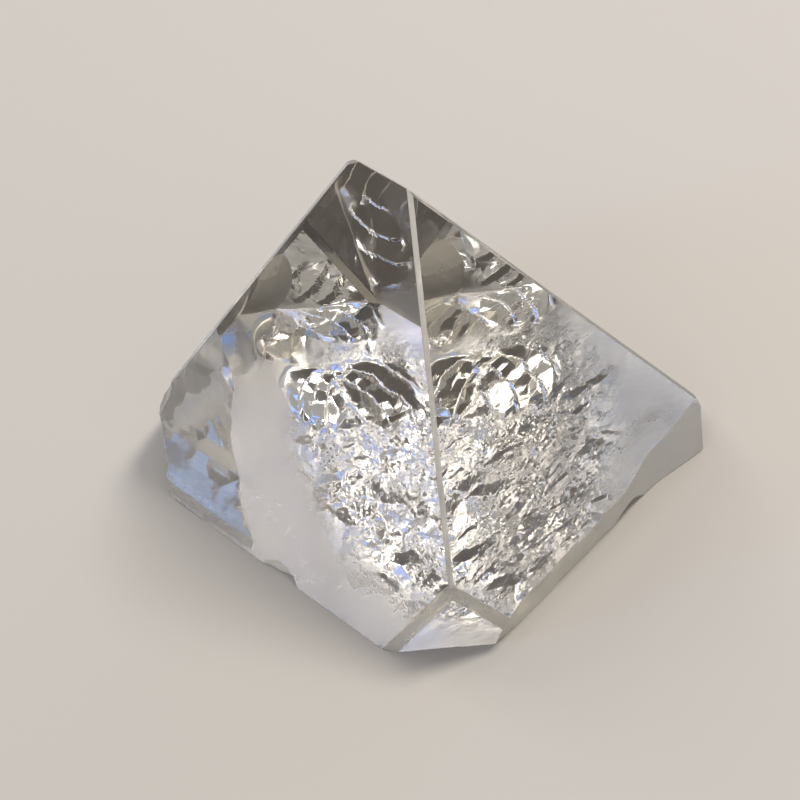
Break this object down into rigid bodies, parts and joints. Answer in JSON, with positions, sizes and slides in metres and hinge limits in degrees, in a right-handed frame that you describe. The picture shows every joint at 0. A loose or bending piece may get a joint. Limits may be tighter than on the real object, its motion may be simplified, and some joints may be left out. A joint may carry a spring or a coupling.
{
  "type": "apophyllite point",
  "caption": "Clear apophyllite crystal tip: steep tetragonal pyramid with a broken hackly floor it rests on and a flaked left flank.",
  "frame": {"origin": "middle of the bounding box's floor, on the ground that the crystal rests on", "axes": "+Z is the crystal's c axis, up to the tip; -Y is the side with the sharp front edge; +X is to the right of someone facing that edge and is the longest extent; metres"},
  "size_m": [0.033, 0.0302, 0.0225],
  "materials": {
    "clear_crystal": "clear colourless crystal, glassy growth faces, hackly break under the floor"
  },
  "bodies": {
    "root": {"crystal": "clear_crystal"}
  },
  "joints": []
}
